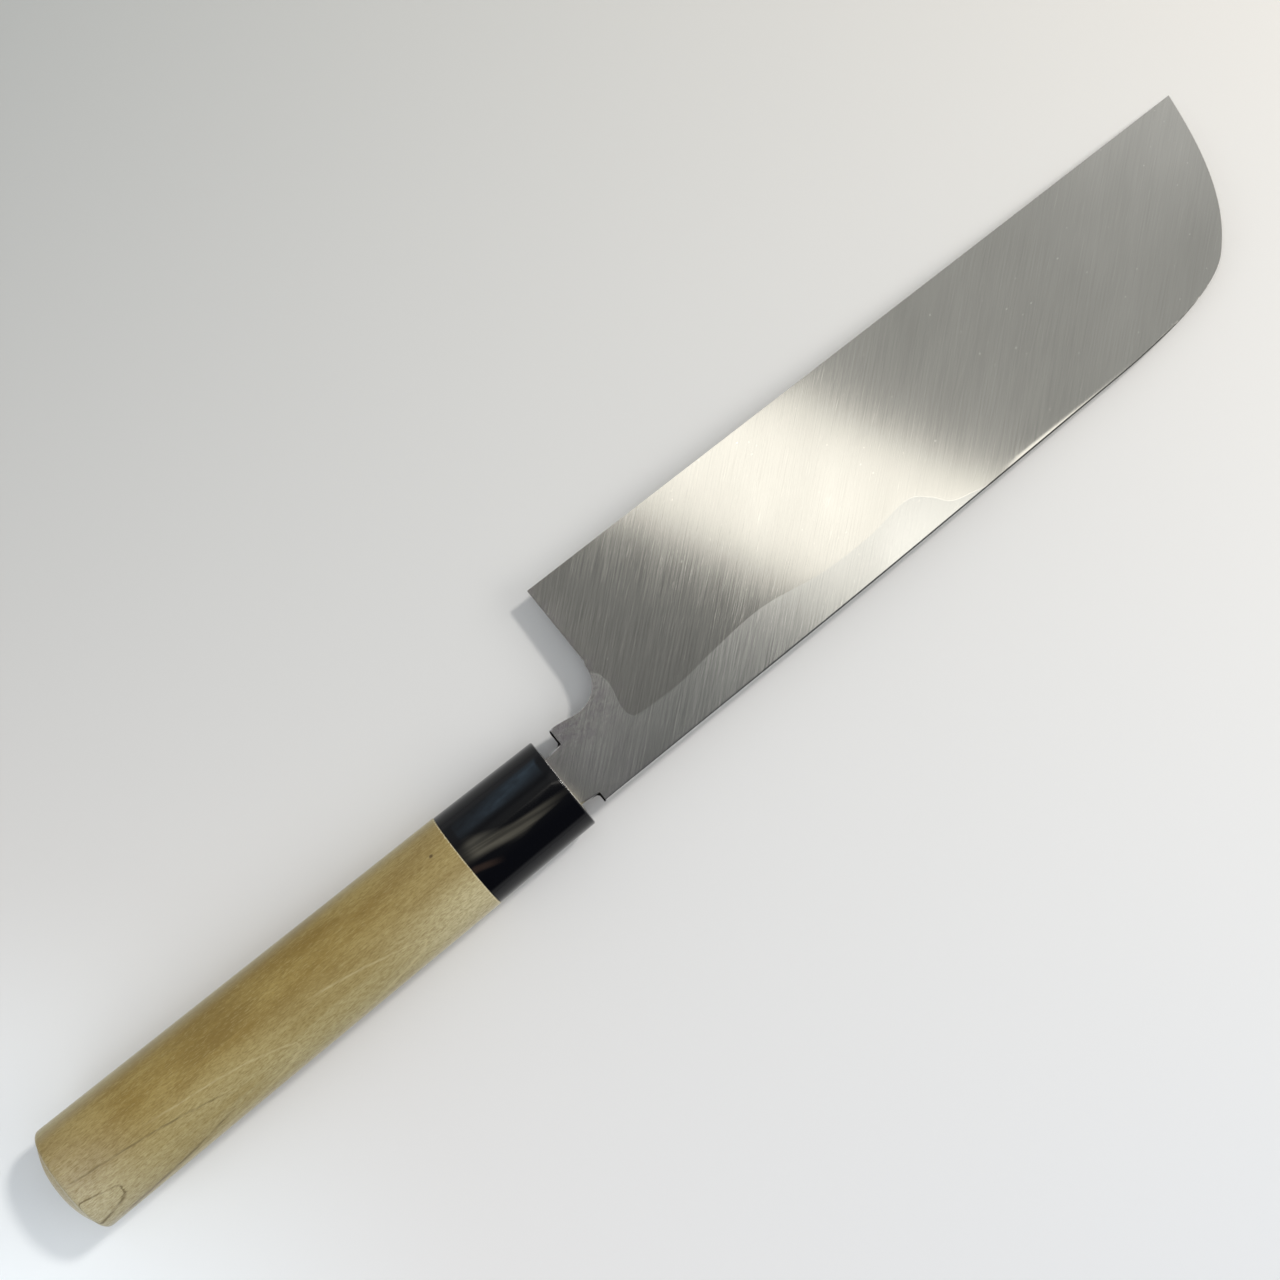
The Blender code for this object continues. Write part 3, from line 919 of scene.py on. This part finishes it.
def ground_metal(
    attitude, name, dark, light, smoothest, roughest, marks_angle, spread,
    polish_angle=None, depth_share=1.0, nose_marks=1.0,
):
    """Metal finished with parallel grinding marks, and a little stained at the neck by forging."""
    n = Surface(name, attitude)
    x, y, z = n.axes()
    wide = n.noise((20, 0.34, any_depth), marks_angle + 0.015, detail=1.0)
    narrow = n.noise((14, 0.19, any_depth), marks_angle - 0.01, roughness=0.6)
    deep = n.noise((7, 0.2, any_depth), marks_angle - 0.05, detail=0.0)
    cloud = n.noise((30, 12, any_depth), marks_angle)
    strength = x.span(*marks_fade, 1.0, nose_marks)
    deep = deep.span(0.7, 0.8) * strength
    grain = (wide * 0.35 + narrow * 0.65 - 0.5) * strength + 0.5
    tone = (grain * 0.8 + cloud * 0.2).span(0.36, 0.64, smooth=False)
    colour = tone.math("ADD", deep * 0.6, clamp=True).mix(dark, light)

    at_neck = x.span(*stained) * y.span(0.0, 9 * mm, 0.25, 1.0)
    stains = n.noise((5, 3, any_depth), detail=4.0, roughness=0.7)
    spots = n.noise((0.9, 0.6, any_depth), detail=3.0, roughness=0.7)
    specks = n.noise((1.0, 0.8, any_depth), detail=0.0)
    # A painted highlight along the weld's edge on the flat side, where a slightly proud weld catches
    # light
    weld_highlight = n.node("ShaderNodeAttribute", {}, "Fac", attribute_name="weld_distance")
    weld_highlight = weld_highlight.span(0.16 * mm, 0.03 * mm) * x.span(*weld_highlight_along_x, 0.0, 0.3) * z.span(0.0, flat_z / 2)
    # Painted shade on the notches' faces, which are also made rougher
    notch_shade = x.span(notch_x + notch_shade_width, notch_x + 0.8 * notch_shade_width)
    notch_shade = notch_shade * abs(y).span(notch_side - 0.3 * mm, notch_side)
    notch_shade = notch_shade * x.span(0.0, notch_x - notch_fillet)
    for share, mark_colour in (
        (at_neck * stains.span(0.42, 0.65, 0.0, 0.5), stain_colour),
        (at_neck * spots.span(0.4, 0.7, 0.0, 0.5), spot_colour),
        (specks.span(0.83, 0.87, 0.0, 0.45), speck_colour),
        (weld_highlight, weld_highlight_colour),
        (notch_shade, notch_shade_colour),
    ):
        colour = share.mix(colour, mark_colour)
    roughness = grain.span(0.38, 0.66, smoothest, roughest) + x.span(*rough_neck, 0.0, 0.09)
    n.spread_across(polish_angle or marks_angle)
    return n.dressed(
        Base_Color=colour, Roughness=roughness + notch_shade * 0.3, Metallic=1.0, Anisotropic=spread,
        Normal=(grain - deep * 0.35).bump(marks_depth * depth_share),
    )


def horn(attitude):
    """Polished buffalo horn, near black, with a soft grey-brown streak that narrows to the front."""
    n = Surface("horn", attitude)
    x, y, z = n.axes()
    fibre = n.noise((18, 1.8, 2.5), -0.1, detail=1.5, roughness=0.4)
    vein = n.noise((22, 1.1, 3.0), -0.12, roughness=0.4)
    wear = n.noise((3, 1, 1), detail=3.0)
    on_top = z.span(0.0, 4 * mm)
    middle = x.span(-25 * mm, -12 * mm, 0.6 * mm, -2.2 * mm)
    reach = x.span(-22 * mm, -1 * mm, 2.8 * mm, 0.9 * mm, smooth=False)
    away = abs(y - middle) / reach + (fibre - 0.5) * 0.7
    streak = away.span(1.1, 0.3) * x.span(0.0, -13 * mm, 0.1, 1.0)
    streak = streak * x.span(-26.5 * mm, -23 * mm, 0.25, 1.0) * on_top * vein.span(0.3, 0.62, 0.4, 1.0)
    rust_middle = x.span(-26 * mm, -20 * mm, -3.2 * mm, -5.0 * mm, smooth=False)
    rust = abs(y - rust_middle).span(1.1 * mm, 0.2 * mm, 0.0, 0.6) * on_top * x.span(-19 * mm, -24 * mm)
    return n.dressed(
        Base_Color=rust.mix(streak.mix(horn_colour, streak_colour), rust_colour),
        Roughness=wear.span(0.3, 0.7, 0.07, 0.13), IOR=horn_ior, Normal=fibre.bump(0.01 * mm),
    )


def ring_level(apex_x):
    """The level of the ring whose foremost place on the upper face is at apex_x."""
    ring = oval(apex_x, *wood_size(apex_x))
    return max(sum(share * part for share, part in zip(ring_tilt, point)) for point in ring)


def ring_lines(n, x, y, z, warp):
    """How much of a dark ring and of a pale one shows at each place."""
    shift = warp * ring_warp + n.noise((3, 1, 1), detail=1.0) * ring_fine_warp
    level = x * ring_tilt[0] + y * ring_tilt[1] + z * ring_tilt[2] + shift
    slant = y / abs(z).math("MAXIMUM", 1 * mm) * ring_slant - ring_tilt[1]
    steepness = length(slant, ring_tilt[0])
    dark_line = 0.0
    pale_line = 0.0
    for apex_x, strength, reach, front in ring_apexes:
        away = abs(level - (ring_level(apex_x) + (ring_warp + ring_fine_warp) / 2)) / steepness
        near = away.span(0.4 * mm, 0.05 * mm, 0.0, abs(strength))
        near = near * x.span(apex_x - reach, apex_x - 0.7 * reach)
        near = near * x.span(apex_x - 1 * mm, apex_x - 7 * mm, front, 1.0)
        if strength > 0:
            dark_line = near.math("MAXIMUM", dark_line)
        else:
            pale_line = near.math("MAXIMUM", pale_line)
    return dark_line, pale_line


def wood(attitude):
    """Pale magnolia, browner above and paler below, mottled, with rings cut at a shallow angle."""
    n = Surface("magnolia_wood", attitude)
    x, y, z = n.axes()
    warp = n.noise((22, 5, 5), detail=3.0)
    fibre = n.noise((36, 1.3, 1.3), detail=3.0, roughness=0.6)
    mottle = n.noise((1.4, 0.42, 0.42), detail=4.0, roughness=0.7)
    fleck = n.noise((1.5, 0.24, 0.24), roughness=0.7)
    broken = n.noise((6, 1.5, 1.5), detail=3.0, roughness=0.7).span(0.36, 0.58, 0.3, 1.0)
    chips = n.noise((1, 0.5, 0.5)) * (0.8 * mm)
    patch = n.noise((24, 7, 8), detail=3.0, roughness=0.6) * 0.65 + fibre * 0.35
    patch = patch.span(0.38, 0.65)
    base = y.span(-13 * mm, 4 * mm).mix(patch.mix(*pale_tones), patch.mix(*brown_tones))

    shown = [
        # Painted sheen: paler towards the butt and towards the collar, most on the lower side
        (x.span(-112 * mm, -140 * mm, 0.0, 0.6) * y.span(12 * mm, -6 * mm, 0.15, 1.0), butt_painted_sheen),
        (x.span(-62 * mm, -28 * mm, 0.0, 0.7) * y.span(0.0, -10 * mm, 0.15, 1.0), front_painted_sheen),
    ]
    ragged = (warp - 0.5) * 2.0 + (fibre - 0.5) * 4.0
    for middle_x, middle_y, half_length, half_width, strength in heart_patches:
        along = (x - middle_x) / half_length
        side = (y - middle_y) / half_width
        heart = (along * along + side * side + ragged).span(1.5, -0.5, 0.0, strength)
        shown.append((heart * z.span(0.0, 3 * mm), heart_colour))
    dark_line, pale_line = ring_lines(n, x, y, z, warp)
    from_knot = length((x - knot_place[0]) * 0.7, y - knot_place[1])
    shown += [
        (mottle.span(0.35, 0.65, 0.0, 0.38), mottle_colour),
        (fleck.span(0.48, 0.68, 0.0, 0.45), dark_fleck),
        (fleck.span(0.48, 0.3, 0.0, 0.3), pale_fleck),
        # Painted reflection: a pale grey rim along the upper edge
        (y.span(9 * mm, 12.5 * mm, 0.0, 0.35), edge_painted_reflection),
        (dark_line * (broken * 0.75), dark_ring),
        (pale_line * broken.span(0.3, 1.0, 0.25, 0.5), pale_ring),
        (from_knot.span(0.5 * mm, 0.15 * mm, 0.0, 0.8) * z.span(0.0, 1 * mm), knot_colour),
        ((x + chips + collar_length).span(0.1 * mm, 0.2 * mm, 0.0, 0.55), rim_colour),
        # Painted shade on the tenon's front face round the tang, darker on its upper side
        (x.span(-0.6 * mm, -0.2 * mm) * y.span(-4 * mm, 1 * mm, 0.3, 0.85), tenon_painted_shade),
    ]
    for share, colour in shown:
        base = share.mix(base, colour)
    return n.dressed(
        Base_Color=base, Roughness=mottle.span(0.3, 0.7, 0.48, 0.64), Specular_IOR_Level=0.3,
        Sheen_Weight=0.3, Sheen_Roughness=0.3, Normal=(mottle * 0.4 - fleck * 0.6).bump(0.03 * mm),
    )


def finishes(attitude):
    """The materials of each piece, in the order of its faces' material numbers."""
    metals = {name: ground_metal(attitude, name, **look) for name, look in metal_looks.items()}
    return {
        "steel_layer": [metals["steel_flat_side"], metals["steel_bevel"]],
        "iron_body": [metals["iron_flat_side"], metals["iron_underside"], metals["iron_bevel"]],
        "horn_collar": [horn(attitude)],
        "wooden_handle": [wood(attitude)],
    }


# Pieces of the blade

def make_blade():
    plan = blade_plan()
    points = plan["points"]
    top, underside = blade_heights(points, plan["chains"])
    interface = flat_z - steel_thickness(points[:, 0])
    steel_under = np.maximum(interface, underside)
    iron_inner = np.maximum(interface - weld_gap, underside)
    triangles = plan["triangles"]
    centres = points[triangles].mean(axis=1)
    on_bevel = centres[:, 1] > bevel_line_y(centres[:, 0])
    on_bevel &= centres[:, 0] > bevel_start_x

    def steel_paint(number, face):
        return 0 if face == "top" else 1

    def iron_paint(number, face):
        if face == "under":
            return 2 if on_bevel[number] else 1
        return 0 if face == "top" else 1

    one_part = np.zeros(len(triangles), int)
    bm = shell_over(plan, plan["steel"], [top], steel_under, one_part, steel_paint)
    steel = finished("steel_layer", bm)
    two_parts = plan["steel"].astype(int)
    bm = shell_over(plan, ~plan["bare"], [top, iron_inner], underside, two_parts, iron_paint)
    iron = finished("iron_body", bm)
    mark_line_sharp(iron, plan["bevel_line"])
    return iron, steel


def mark_line_sharp(piece, line):
    """Makes the edges along a line on the underside sharp."""
    mesh = piece.data
    places = np.array([v.co[:] for v in mesh.vertices])
    near = distance_to_path(places[:, :2], line) < line_tolerance
    near &= places[:, 2] < 0.0
    for edge in mesh.edges:
        if near[edge.vertices[0]] and near[edge.vertices[1]]:
            edge.use_edge_sharp = True


# Handle

def oval(x, width, thickness):
    """A ring of points across the handle's axis."""
    ring = []
    for step in range(oval_steps):
        angle = 2 * math.pi * step / oval_steps
        cosine = math.cos(angle)
        sine = math.sin(angle)
        y = math.copysign(abs(cosine) ** (2 / oval_power), cosine) * width / 2
        z = math.copysign(abs(sine) ** (2 / oval_power), sine) * thickness / 2
        ring.append((x, y, z))
    return ring


def collar_size(x):
    return blend(collar_front_size, collar_rear_size, -x / collar_length)


def wood_size(x):
    """Size of the wood's outside at x."""
    share = (-collar_length - x) / (handle_length - collar_length - butt_dome)
    return blend(collar_rear_size + 2 * wood_stand_proud, butt_size, share)


def rounded_end(x, size_at, radius, direction):
    """Rings of a rounded corner that ends at x, from the side to the end face or back."""
    rings = []
    for step in range(corner_steps + 1):
        angle = math.pi / 2 * step / corner_steps
        ring_x = x - direction * radius * (1 - math.sin(angle))
        rings.append(oval(ring_x, *(size_at(ring_x) - 2 * radius * (1 - math.cos(angle)))))
    return rings


def make_collar():
    rings = list(reversed(rounded_end(-collar_length, collar_size, collar_rear_break, -1)))
    for step in range(1, collar_stations):
        x = -collar_length * (1 - step / collar_stations)
        rings.append(oval(x, *collar_size(x)))
    rings += rounded_end(0.0, collar_size, collar_front_chamfer, 1)
    for x in (0.0, -collar_length):
        rings.append(oval(x, *(tenon_size + 2 * joint_gap)))
    return finished("horn_collar", loft(rings, closed=True))


def make_wood():
    shoulder_x = -collar_length - joint_gap
    corner_x = -handle_length + butt_dome + butt_corner
    rings = []
    for step in range(1, dome_steps + 1):
        share = step / dome_steps
        x = -handle_length + butt_dome * share ** butt_dome_power
        rings.append(oval(x, *(butt_size - 2 * butt_corner) * share))
    for step in range(1, corner_steps + 1):
        angle = math.pi / 2 * step / corner_steps
        x = corner_x - butt_corner * math.cos(angle)
        rings.append(oval(x, *(butt_size - 2 * butt_corner * (1 - math.sin(angle)))))
    for step in range(1, wood_stations):
        x = blend(corner_x, shoulder_x - wood_front_break, step / wood_stations)
        rings.append(oval(x, *wood_size(x)))
    rings += rounded_end(shoulder_x, wood_size, wood_front_break, 1)
    for x, size in ((shoulder_x, tenon_size), (-joint_gap, tenon_size), (tenon_proud, tenon_lip_size)):
        rings.append(oval(x, *size))
    return finished("wooden_handle", loft(rings))


# How the knife lies on the table

def bevel_line_end(spine):
    """Where the bevel line meets the nose, on the underside."""
    for before, after in zip(spine, spine[1:]):
        if before.y < bevel_line_y(before.x) and after.y >= bevel_line_y(after.x):
            low = bevel_line_y(before.x) - before.y
            high = after.y - bevel_line_y(after.x)
            point = blend(before, after, low / (low + high))
            return Vector((point.x, point.y, flat_z - blade_thickness(point.x)))


def resting_rotation():
    """Turns the plane through the three points that touch the table into the level plane."""
    tip = Vector((tip_x, tip_y, flat_z - edge_land))
    line_end = bevel_line_end(spine_and_nose())
    x = -collar_front_chamfer
    ring = [Vector(point) for point in oval(x, *collar_size(x))]
    up = Vector((0, 0, 1))
    for _ in range(settling_turns):
        collar = min(ring, key=lambda point: point.dot(up))
        up = (line_end - collar).cross(tip - collar).normalized()
        if up.z < 0:
            up.negate()
    forward = (Vector((1, 0, 0)) - up.x * up).normalized()
    sideways = up.cross(forward)
    return Matrix((forward, sideways, up))


def lay_down(pieces):
    """Lays the pieces in the part's place, at rest in the same box, and says how they moved."""
    turn = resting_rotation()
    corners = np.concatenate([
        np.array([v.co[:] for v in piece.data.vertices]) @ np.array(turn).T for piece in pieces
    ])
    middle = (corners.min(axis=0) + corners.max(axis=0)) / 2
    place = (cad_low + cad_high) / 2 - Vector(middle)
    place.z = cad_low.z - corners[:, 2].min()
    attitude = Matrix.Translation(place) @ turn.to_4x4()
    for piece in pieces:
        piece.data.transform(attitude)
    return attitude


# Surroundings

def studio_place(right, up, height):
    """A place by its distance right of and above the picture's middle, and its height."""
    c = math.cos(camera_turn)
    s = math.sin(camera_turn)
    x = camera_place[0] + c * right - s * up
    y = camera_place[1] + s * right + c * up
    return Vector((x, y, height))


def studio_direction(right, up, height):
    return studio_place(right, up, height) - studio_place(0.0, 0.0, 0.0)


def make_sun():
    data = bpy.data.lights.new("key", "SUN")
    data.angle = key_angle
    data.energy = key_strength
    data.color = key_colour
    back = studio_direction(*key_direction)
    put("key", data).rotation_euler = back.to_track_quat("Z", "Y").to_euler()


def make_lamp(name, place, size, power, colour):
    """A soft rectangular lamp that faces the middle of the table."""
    data = bpy.data.lights.new(name, "AREA")
    data.shape = "RECTANGLE"
    data.size = size[0]
    data.size_y = size[1]
    data.energy = power
    data.color = colour
    lamp = put(name, data)
    lamp.visible_camera = False
    lamp.visible_glossy = False
    back = studio_direction(*place).normalized()
    upward = back.cross(studio_direction(1.0, 0.0, 0.0)).normalized()
    turn = Matrix((upward.cross(back), upward, back)).transposed()
    lamp.matrix_world = Matrix.Translation(studio_place(*place)) @ turn.to_4x4()


def make_floor():
    corners = ((-1, -1), (1, -1), (1, 1), (-1, 1))
    mesh = bpy.data.meshes.new("table")
    mesh.from_pydata([(table_reach * x, table_reach * y, 0.0) for x, y in corners], [], [range(4)])
    n = Surface("table_surface", Matrix.Identity(4))
    right, up, _ = n.axes(camera_turn)
    # The corners' colours paint light that falls off towards the upper left
    rightward = right.span(-table_corner, table_corner, smooth=False)
    upward = up.span(-table_corner, table_corner, smooth=False)
    bottom = rightward.mix(table_bottom_left, table_bottom_right)
    top = rightward.mix(table_top_left, table_top_right)
    # A painted pool of light by the butt
    from_painted_pool = length(right - painted_pool_place[0], up - painted_pool_place[1])
    colour = from_painted_pool.span(painted_pool_reach, 0.0).mix(upward.mix(bottom, top), painted_light_pool)
    colour = length(right, up).span(*table_fade).mix(colour, table_beyond)
    mesh.materials.append(n.dressed(Base_Color=colour, Roughness=table_roughness))
    floor = put("table", mesh)


def make_world():
    """Pale walls under a ceiling with a dark middle and a bright strip across it.

    A window is on the side of the cutting edge, and a dark patch on the side of the spine.
    """
    world = bpy.data.worlds.new("studio")
    bpy.context.scene.world = world
    world.use_nodes = True
    sky = Tree(world.node_tree)
    sky.tree.nodes.clear()
    direction = sky.node("ShaderNodeTexCoord", {}, "Generated")

    def part(axis):
        """The direction's part along an axis."""
        inputs = {0: direction, 1: axis}
        return sky.node("ShaderNodeVectorMath", inputs, "Value", operation="DOT_PRODUCT")

    height = part(Vector((0.0, 0.0, 1.0)))
    steep = height.math("MAXIMUM", 0.01)
    right = part(studio_direction(1.0, 0.0, 0.0)) / steep
    up = part(studio_direction(0.0, 1.0, 0.0)) / steep

    across_strip = up - right * strip_tilt
    dim = across_strip.span(*ceiling_rise).mix(ceiling_dark, ceiling_below_strip)
    beyond = across_strip.span(*far_rise).mix(ceiling_near_strip, ceiling_far)
    bright_side = across_strip.span(*bright_rise) * right.span(*bright_rise_right)
    strip = across_strip.between(strip_up - strip_width / 2, strip_up + strip_width / 2, strip_softness)
    strip = strip * right.between(*strip_ends, strip_end_softness)
    ceiling = strip.mix(bright_side.mix(dim, beyond), strip_colour)
    colour = height.span(*ceiling_edge).mix(wall_colour, ceiling)
    window = part(Vector((1.0, 0.0, 0.0))).between(*window_along_x, window_softness)
    window = window * part(Vector((0.0, 1.0, 0.0))).between(*window_along_y, window_end_softness)
    dark = part(Vector((0.0, -math.sin(dark_side_lean), math.cos(dark_side_lean))))
    dark = dark.span(math.cos(dark_side_reach), math.cos(dark_side_reach / 2))
    colour = dark.mix(window.mix(colour, window_colour), dark_side_colour)
    colour = height.span(*horizon_edge).mix(colour, horizon_colour)
    background = sky.node("ShaderNodeBackground", {"Color": colour})
    sky.feed(sky.tree.nodes.new("ShaderNodeOutputWorld").inputs[0], background)


def make_camera():
    data = bpy.data.cameras.new("camera")
    data.sensor_width = sensor_width
    data.lens = camera_lens
    data.clip_start = 0.01
    camera = put("camera", data)
    camera.location = camera_place
    camera.rotation_euler = (0.0, 0.0, camera_turn)
    bpy.context.scene.camera = camera


def main():
    bpy.context.scene.view_settings.view_transform = "Standard"
    make_camera()
    make_world()
    make_sun()
    for name, look in lamps.items():
        make_lamp(name, *look)
    make_floor()
    iron, steel = make_blade()
    collar = make_collar()
    handle = make_wood()
    pieces = [iron, steel, collar, handle]
    materials = finishes(lay_down(pieces))
    for piece, node, slot in (
        (iron, "blade_iron", "soft_iron"),
        (steel, "blade_steel", "hard_steel"),
        (collar, "horn_ferrule", "dark_horn"),
        (handle, "handle_wood", "pale_wood"),
    ):
        for material in materials[piece.name]:
            piece.data.materials.append(material)
        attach(piece, "root")
        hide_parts(node)


main()
